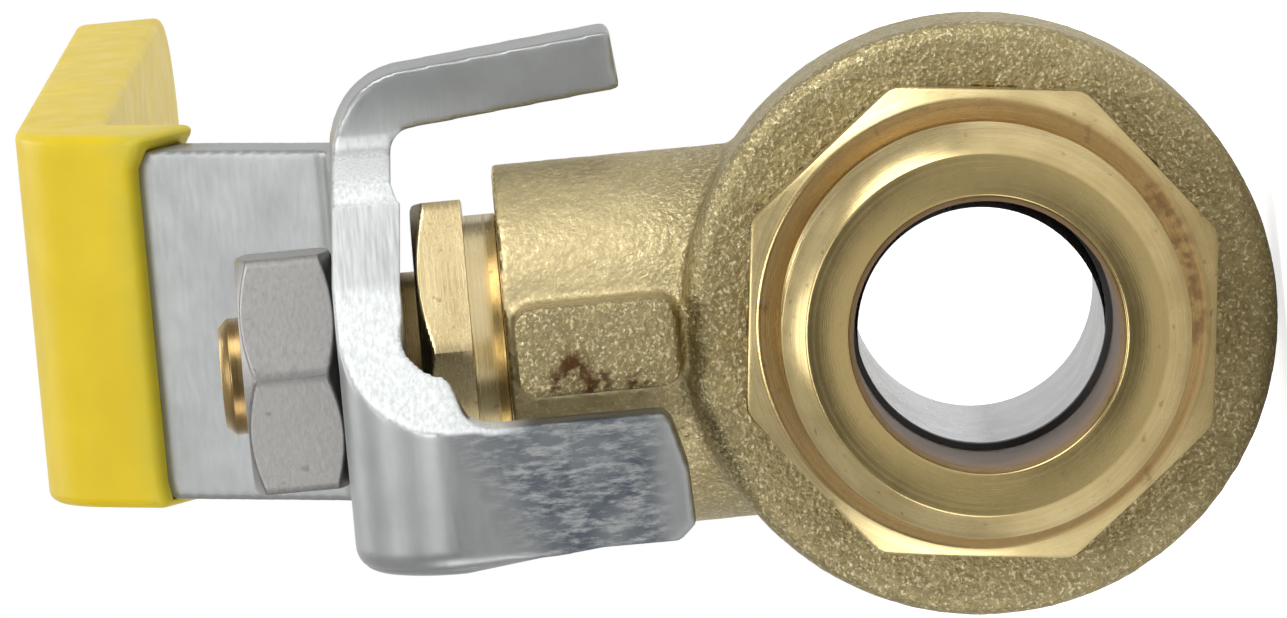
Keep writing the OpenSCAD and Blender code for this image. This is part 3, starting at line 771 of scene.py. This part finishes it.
class Shader:
    """A node material. add() makes a node and links or sets its inputs."""

    def __init__(self, name):
        self.material = bpy.data.materials.new(name)
        self.material.use_nodes = True
        self.tree = self.material.node_tree
        self.tree.nodes.clear()
        self.place = self.add("TexCoord").outputs["Object"]

    def add(self, kind, inputs=None, **settings):
        node = self.tree.nodes.new("ShaderNode" + kind)
        for key, value in settings.items():
            setattr(node, key, value)
        for key, value in (inputs or {}).items():
            self.feed(node, key, value)
        return node

    def feed(self, node, key, value):
        if isinstance(value, bpy.types.NodeSocket):
            self.tree.links.new(value, node.inputs[key])
        else:
            node.inputs[key].default_value = value

    def noise(self, size_mm, detail=3, rough=0.55, vector=None, stretch=None):
        vector = vector or self.place
        if stretch:
            vector = self.add("Mapping", {"Vector": vector, "Scale": stretch}).outputs[0]
        made = self.add("TexNoise", {"Vector": vector, "Scale": 1000 / size_mm, "Detail": detail,
                                     "Roughness": rough})
        return made.outputs["Fac"]

    def ramp(self, factor, stops):
        made = self.add("ValToRGB", {"Fac": factor})
        elements = made.color_ramp.elements
        for i, (position, value) in enumerate(stops):
            element = elements[i] if i < 2 else elements.new(position)
            element.position = position
            element.color = value if len(value) == 4 else (*value, 1)
        return made.outputs["Color"]

    def grey(self, factor, low, high, from_low=0.0, from_high=1.0):
        made = self.add("MapRange", {"Value": factor, "From Min": from_low, "From Max": from_high,
                                     "To Min": low, "To Max": high})
        return made.outputs[0]

    def blend(self, factor, a, b, mode="MIX"):
        made = self.add("Mix", data_type="RGBA", blend_type=mode)
        self.feed(made, 0, factor)
        self.feed(made, 6, a if isinstance(a, bpy.types.NodeSocket) else (*a, 1))
        self.feed(made, 7, b if isinstance(b, bpy.types.NodeSocket) else (*b, 1))
        return made.outputs[2]

    def maths(self, operation, a, b=0.0):
        return self.add("Math", {0: a, 1: b}, operation=operation).outputs[0]

    def layer(self, name):
        return self.add("Attribute", attribute_name=name).outputs["Fac"]

    def bump(self, height, depth_mm, under=None, strength=1.0):
        inputs = {"Height": height, "Distance": depth_mm * MM, "Strength": strength}
        if under:
            inputs["Normal"] = under
        return self.add("Bump", inputs).outputs[0]

    def rings(self, axis):
        """A vector of radius and distance along the axis, for marks left by turning."""
        parts = self.add("SeparateXYZ", {0: self.place}).outputs
        across, along = (parts[2], parts[1]) if axis == "flow" else (parts[1], parts[2])
        flat = self.add("CombineXYZ", {0: parts[0], 1: across}).outputs[0]
        radius = self.add("VectorMath", {0: flat}, operation="LENGTH").outputs["Value"]
        return self.add("CombineXYZ", {0: radius, 1: along}).outputs[0]

    def finish(self, **inputs):
        names = {
            "color": "Base Color", "rough": "Roughness", "metal": "Metallic", "normal": "Normal",
            "spec": "Specular IOR Level", "aniso": "Anisotropic", "tangent": "Tangent",
            "coat": "Coat Weight", "coat_rough": "Coat Roughness", "soft": "Subsurface Weight",
            "soft_radius": "Subsurface Radius", "soft_scale": "Subsurface Scale",
            "glow": "Emission Strength", "glow_color": "Emission Color",
        }
        made = self.add("BsdfPrincipled", {names[key]: value for key, value in inputs.items()})
        self.add("OutputMaterial", {"Surface": made.outputs[0]})
        return self.material


def forged_brass():
    """Shot-blasted brass: fine sparkling grain, darker patches, stains and a few turned faces."""
    s = Shader("forged_brass")
    grain = s.noise(0.33, 2, 0.6)
    patch = s.noise(5, 4)
    fleck = s.ramp(s.noise(0.2, 2, 0.6), [(0.54, (0, 0, 0)), (0.66, (1, 1, 1))])
    base = s.ramp(patch, [(0.32, (0.315, 0.262, 0.128)), (0.68, (0.41, 0.348, 0.182))])
    color = s.blend(s.grey(grain, 0.0, 0.5, 0.35, 0.65), base, (0.20, 0.155, 0.08))
    color = s.blend(s.maths("MULTIPLY", fleck, 0.6), color, (0.80, 0.71, 0.48))
    neck = s.layer("neck")
    color = s.blend(s.maths("MULTIPLY", neck, 0.6), color, (0.58, 0.48, 0.27))
    color = s.blend(s.layer("machined"), color, (0.70, 0.55, 0.29))
    stain = s.maths("MULTIPLY", s.layer("stain"), s.grey(s.noise(0.7, 4), 0, 1, 0.38, 0.52))
    color = s.blend(stain, color, (0.085, 0.042, 0.018))
    rough = s.grey(s.noise(0.5, 2), 0.36, 0.60, 0.3, 0.7)
    rough = s.maths("SUBTRACT", rough, s.maths("MULTIPLY", s.layer("machined"), 0.18))
    keep = s.grey(s.layer("machined"), 1, 0.05)
    keep = s.maths("MULTIPLY", keep, s.grey(neck, 1, 0.32))
    normal = s.bump(s.maths("MULTIPLY", grain, keep), 0.15, strength=1.0)
    normal = s.bump(s.maths("MULTIPLY", s.noise(0.6, 2), keep), 0.07, normal, 0.5)
    return s.finish(color=color, rough=rough, metal=1.0, normal=normal)


def turned_brass(name, axis, light=(0.68, 0.55, 0.285), dark=(0.48, 0.37, 0.17),
                 connector_marks=False):
    """Turned brass: concentric tool marks, slight tarnish and stretched highlights. For the front connector it
    also paints shade on the sealing face, the ring in front of the octagon and the bore wall, and adds stains.
    """
    s = Shader(name)
    rings = s.rings(axis)
    marks = s.noise(0.16, 3, 0.7, rings)
    bands = s.noise(1.4, 2, 0.5, rings)
    tarnish = s.noise(3.2, 4)
    clouds = s.maths("ADD", s.maths("MULTIPLY", bands, 0.5), s.maths("MULTIPLY", tarnish, 0.5))
    color = s.ramp(clouds, [(0.36, dark), (0.62, light)])
    groove = s.grey(marks, 0, 0.25 if axis == "flow" else 0.1, 0.4, 0.7)
    color = s.blend(groove, color, tuple(0.55 * c for c in dark))
    if connector_marks:
        # Painted shade: the sealing face, the ring in front of the octagon and the bore wall get darker colours.
        face = s.blend(marks, (0.30, 0.228, 0.095), (0.42, 0.325, 0.148))
        color = s.blend(s.layer("face"), color, face)
        # Painted shade: a darker colour on the ring in front of the octagon.
        shaded_ring = s.blend(marks, (0.33, 0.215, 0.085), (0.50, 0.34, 0.15))
        color = s.blend(s.layer("shaded_ring"), color, shaded_ring)
        # Painted shade: the bore wall is coloured dark brown.
        color = s.blend(s.layer("bore"), color, (0.33, 0.22, 0.135))
        patches = s.grey(s.noise(0.6, 4), 0, 0.65, 0.40, 0.56)
        stain = s.maths("MULTIPLY", s.layer("stain"), patches)
        color = s.blend(stain, color, (0.16, 0.08, 0.04))
    speck = s.ramp(s.noise(0.55, 1, 0.4), [(0.24, (1, 1, 1)), (0.29, (0, 0, 0))])
    color = s.blend(s.maths("MULTIPLY", speck, 0.5), color, (0.25, 0.17, 0.08))
    uneven = s.maths("ADD", marks, s.maths("MULTIPLY", tarnish, 0.5))
    rough = s.grey(uneven, 0.16, 0.34, 0.5, 1.0)
    metal = 1.0
    if connector_marks:
        rough = s.maths("ADD", rough, s.maths("MULTIPLY", s.layer("bore"), 0.3))
        metal = s.grey(s.layer("bore"), 1, 0.35)
    normal = s.bump(marks, 0.008, strength=0.5)
    normal = s.bump(s.noise(1.2, 3), 0.02, normal, 0.4)
    around = "Y" if axis == "flow" else "Z"
    tangent = s.add("Tangent", direction_type="RADIAL", axis=around).outputs[0]
    return s.finish(color=color, rough=rough, metal=metal, normal=normal, aniso=0.55,
                    tangent=tangent)


def zinc_plate():
    """Zinc on pressed steel, scuffed dark on the front ear; the hub's cut edge is painted lighter, partly as bare
    cut steel and partly as a painted highlight.
    """
    s = Shader("zinc_plate")
    cloud = s.noise(4.5, 5, 0.6)
    drag = s.noise(0.5, 5, 0.65, stretch=(0.35, 1.0, 2.2))
    color = s.ramp(cloud, [(0.34, (0.30, 0.31, 0.308)), (0.66, (0.355, 0.366, 0.363))])
    color = s.blend(s.grey(s.noise(0.35, 3), 0, 0.18, 0.45, 0.7), color, (0.30, 0.33, 0.35))
    streaks = s.noise(0.9, 7, 0.72, stretch=(2.2, 1.0, 0.6))
    patchy = s.grey(s.noise(3.0, 3), 0.7, 1, 0.38, 0.6)
    scuff = s.maths("MULTIPLY", s.layer("scuff"), s.grey(streaks, 0, 1, 0.38, 0.54))
    scuff = s.maths("MULTIPLY", scuff, patchy)
    color = s.blend(scuff, color, (0.085, 0.10, 0.12))
    # Near-white cut edges: partly bare cut steel, partly a painted highlight.
    torn = s.grey(s.noise(0.3, 3, 0.6, stretch=(0.12, 1.0, 1.6)), 0, 1, 0.3, 0.7)
    lines = s.blend(torn, (0.58, 0.605, 0.615), (0.88, 0.90, 0.90))
    color = s.blend(s.maths("MULTIPLY", s.layer("cut_edge_and_highlight"), 0.85), color, lines)
    rough = s.grey(drag, 0.35, 0.42, 0.35, 0.65)
    rough = s.maths("ADD", rough, s.maths("MULTIPLY", s.layer("cut_edge_and_highlight"), 0.25))
    rough = s.maths("ADD", rough, s.maths("MULTIPLY", scuff, 0.1))
    normal = s.bump(drag, 0.006, strength=0.4)
    normal = s.bump(s.maths("MULTIPLY", streaks, s.layer("scuff")), 0.18, normal, 0.6)
    scratch = s.noise(0.22, 2, 0.6, stretch=(3.0, 1.0, 0.25))
    normal = s.bump(scratch, 0.006, normal, 0.4)
    metal = s.grey(s.layer("cut_edge_and_highlight"), 0.92, 0.5)
    return s.finish(color=color, rough=rough, metal=metal, normal=normal, spec=0.6)


def nut_plate():
    """Satin plated nut with fine rolling marks and a few dark pits."""
    s = Shader("nut_plate")
    lines = s.noise(0.5, 4, 0.6, stretch=(1, 1, 3))
    color = s.ramp(lines, [(0.32, (0.205, 0.20, 0.194)), (0.68, (0.265, 0.259, 0.25))])
    pit = s.ramp(s.noise(0.9, 1, 0.4), [(0.22, (1, 1, 1)), (0.27, (0, 0, 0))])
    color = s.blend(s.maths("MULTIPLY", pit, 0.8), color, (0.16, 0.14, 0.13))
    rough = s.grey(lines, 0.30, 0.46, 0.3, 0.7)
    normal = s.bump(s.noise(0.3, 4), 0.02, strength=0.5)
    return s.finish(color=color, rough=rough, metal=0.95, normal=normal, spec=0.6)


def chrome():
    """Chromed ball with a slight haze."""
    s = Shader("chrome_plate")
    haze = s.noise(2.5, 4)
    color = s.ramp(haze, [(0.3, (0.45, 0.455, 0.485)), (0.7, (0.51, 0.515, 0.545))])
    normal = s.bump(s.noise(0.4, 3), 0.004, strength=0.5)
    return s.finish(color=color, rough=s.grey(haze, 0.24, 0.32, 0.3, 0.7), metal=1.0, normal=normal)


def dipped_plastic():
    """Soft glossy plastic with slight ripples and painted shade, a darker olive tint, at the rim."""
    s = Shader("dipped_plastic")
    cloud = s.noise(6, 3)
    color = s.ramp(cloud, [(0.3, (0.57, 0.415, 0.003)), (0.7, (0.64, 0.475, 0.006))])
    # Painted shade: a darker olive tint at the sleeve's open end.
    rim = s.maths("MULTIPLY", s.layer("rim"), s.grey(s.noise(1.6, 3), 0.5, 1, 0.35, 0.6))
    color = s.blend(s.maths("MULTIPLY", rim, 0.75), color, (0.46, 0.40, 0.035))
    fine = s.noise(0.35, 2)
    rough = s.grey(s.noise(2, 3), 0.34, 0.48, 0.3, 0.7)
    normal = s.bump(s.noise(5, 2), 0.03, strength=0.4)
    normal = s.bump(fine, 0.001, normal, 0.5)
    return s.finish(color=color, rough=rough, metal=0.0, normal=normal, soft=0.12,
                    soft_radius=(1.0, 0.7, 0.1), soft_scale=0.8 * MM, coat=0.06, coat_rough=0.3,
                    spec=0.24)


def moulded(name, low, high, rough, grain_mm):
    """Matt rubber or plastic for the seals and seats."""
    s = Shader(name)
    cloud = s.noise(1.8, 4)
    color = s.ramp(cloud, [(0.3, low), (0.7, high)])
    normal = s.bump(s.noise(grain_mm, 3), 0.01, strength=0.6)
    uneven = s.grey(cloud, rough - 0.06, rough + 0.08, 0.3, 0.7)
    return s.finish(color=color, rough=uneven, metal=0.0, normal=normal, spec=0.4)


# ---------------------------------------------------------------- scene

TENT_FRONT = 0.23
TENT_SIDE = 0.60
TENT_BACK = 0.25                   # how much brighter the tent is straight behind
FLOOR_GAP = 0.0003
CAMERA_TILT = (-3.1493, -0.33554, -5.3340)     # degrees, from a view straight along the flow
CAMERA_AIM = Vector((2.3996, 10, 17.3123))
CAMERA_LENS, CAMERA_SENSOR = 544.01, 36
SOFT_LIGHTS = {                    # place in metres, width in metres, power in watts
    "key": ((0.75, -0.30, 0.35), 0.6, 3.9),
    "front": ((0.05, -0.9, 0.62), 0.35, 3.0),
    "left": ((0.05, -0.20, 0.9), 0.5, 1.4),
    "low": ((-0.7, -0.35, 0.2), 0.4, 1.2),
    "rear": ((0.2, 0.6, 0.9), 0.6, 2.5),
}


def build_valve():
    forging = forged_brass()
    stem_brass = turned_brass("stem_brass", "stem", (0.39, 0.275, 0.12), (0.20, 0.125, 0.048))
    gland_brass = turned_brass("gland_brass", "stem", (0.62, 0.51, 0.29), (0.51, 0.40, 0.21))
    flow_brass = turned_brass("flow_brass", "flow", connector_marks=True)
    # The seat rings are coloured near black.
    dark_seat = moulded("seat_compound", (0.020, 0.018, 0.017), (0.04, 0.037, 0.034), 0.45,
                        0.3)
    white = moulded("white_ptfe", (0.72, 0.72, 0.69), (0.84, 0.84, 0.81), 0.42, 0.25)
    rubber = moulded("black_rubber", (0.012, 0.012, 0.012), (0.03, 0.03, 0.03), 0.6, 0.2)
    forged_housing(forging)
    rear_thread(turned_brass("thread_brass", "flow"))
    front_connector(flow_brass)
    gland_hexagon(gland_brass)
    lever_hexagon(nut_plate())
    turned_stem(stem_brass)
    bent_lever(zinc_plate())
    dipped_sleeve(dipped_plastic())
    finished_copy("polished_ball", "ball", "ball", chrome(), 0.15)
    for name, node in (("front_seat_ring", "front_seat"), ("rear_seat_ring", "rear_seat")):
        finished_copy(name, node, "housing", dark_seat, 0.08)
    finished_copy("plug_o_ring", "connector_o_ring", "housing", rubber)
    for node in ("stem_o_ring_lower", "stem_o_ring_upper"):
        finished_copy("moulded_" + node, node, "lever", rubber)
    for node in ("thrust_washer", "packing_ring_lower", "packing_ring_upper"):
        finished_copy("cut_" + node, node, "housing", white, 0.06)
    finished_copy("turned_follower", "packing_follower", "housing", gland_brass,
                  0.06)


def camera():
    """Stands a metre off, looking along the flow with the stem to the left of the frame."""
    across_up = Matrix(((0, 1, 0), (0, 0, -1), (-1, 0, 0)))
    tilt = Euler([math.radians(a) for a in CAMERA_TILT], "XYZ").to_matrix()
    turn = across_up @ tilt
    data = bpy.data.cameras.new("camera")
    data.lens, data.sensor_width = CAMERA_LENS, CAMERA_SENSOR
    data.clip_start, data.clip_end = 0.01, 10
    obj = bpy.data.objects.new("camera", data)
    obj.matrix_world = Matrix.Translation(CAMERA_AIM * MM + turn.col[2]) @ turn.to_4x4()
    bpy.context.scene.collection.objects.link(obj)
    bpy.context.scene.camera = obj


def soft_light(name, place_at, size, power):
    data = bpy.data.lights.new(name, "AREA")
    data.shape, data.size, data.energy = "DISK", size, power
    obj = bpy.data.objects.new(name, data)
    target = Vector((0, STEM_Y, 12)) * MM
    obj.location = place_at
    obj.rotation_euler = (Vector(place_at) - target).to_track_quat("Z", "Y").to_euler()
    bpy.context.scene.collection.objects.link(obj)


def studio():
    """A pale tent, dimmer towards the front, with soft lights and a white backdrop."""
    world = bpy.data.worlds.new("studio")
    bpy.context.scene.world = world
    world.use_nodes = True
    tree = world.node_tree
    tree.nodes.clear()

    def add(kind, *links, **values):
        made = tree.nodes.new("ShaderNode" + kind)
        for key, value in values.items():
            made.inputs[key.replace("_", " ")].default_value = value
        for key, socket in links:
            tree.links.new(socket, made.inputs[key])
        return made

    along = add("SeparateXYZ", (0, add("TexCoord").outputs["Generated"])).outputs
    tent = add("MapRange", ("Value", along[1]), From_Min=-1.0, From_Max=-0.25, To_Min=TENT_FRONT,
               To_Max=TENT_SIDE)
    back = add("MapRange", ("Value", along[1]), From_Min=0.6, From_Max=0.9, To_Min=0.0,
               To_Max=TENT_BACK)
    strength = tree.nodes.new("ShaderNodeMath")
    for i, part in enumerate((tent, back)):
        tree.links.new(part.outputs[0], strength.inputs[i])
    fill = add("Background", ("Strength", strength.outputs[0]), Color=(1.0, 0.99, 0.97, 1))
    backdrop = add("Background", Color=(1, 1, 1, 1), Strength=1.0)
    seen = add("LightPath").outputs["Is Camera Ray"]
    mix = add("MixShader", (0, seen), (1, fill.outputs[0]), (2, backdrop.outputs[0]))
    add("OutputWorld", ("Surface", mix.outputs[0]))
    for name, (place_at, size, power) in SOFT_LIGHTS.items():
        soft_light(name, place_at, size, power)
    bpy.context.scene.view_settings.view_transform = "Standard"


def floor():
    """Pale floor that glows to the camera, so that it meets the white backdrop unseen."""
    mesh = bpy.data.meshes.new("floor")
    half, z = 2.0, cad_box[0].z - FLOOR_GAP
    mesh.from_pydata([(-half, -half, z), (half, -half, z), (half, half, z), (-half, half, z)], [],
                     [(0, 1, 2, 3)])
    obj = bpy.data.objects.new("floor", mesh)
    s = Shader("pale_floor")
    color = s.ramp(s.noise(30, 2), [(0.3, (0.86, 0.86, 0.86)), (0.7, (0.88, 0.88, 0.88))])
    seen = s.add("LightPath").outputs["Is Camera Ray"]
    mesh.materials.append(s.finish(color=color, rough=0.8, metal=0.0, glow=s.grey(seen, 0.0, 0.75),
                                   glow_color=(1, 1, 1, 1)))
    bpy.context.scene.collection.objects.link(obj)


build_valve()
camera()
studio()
floor()
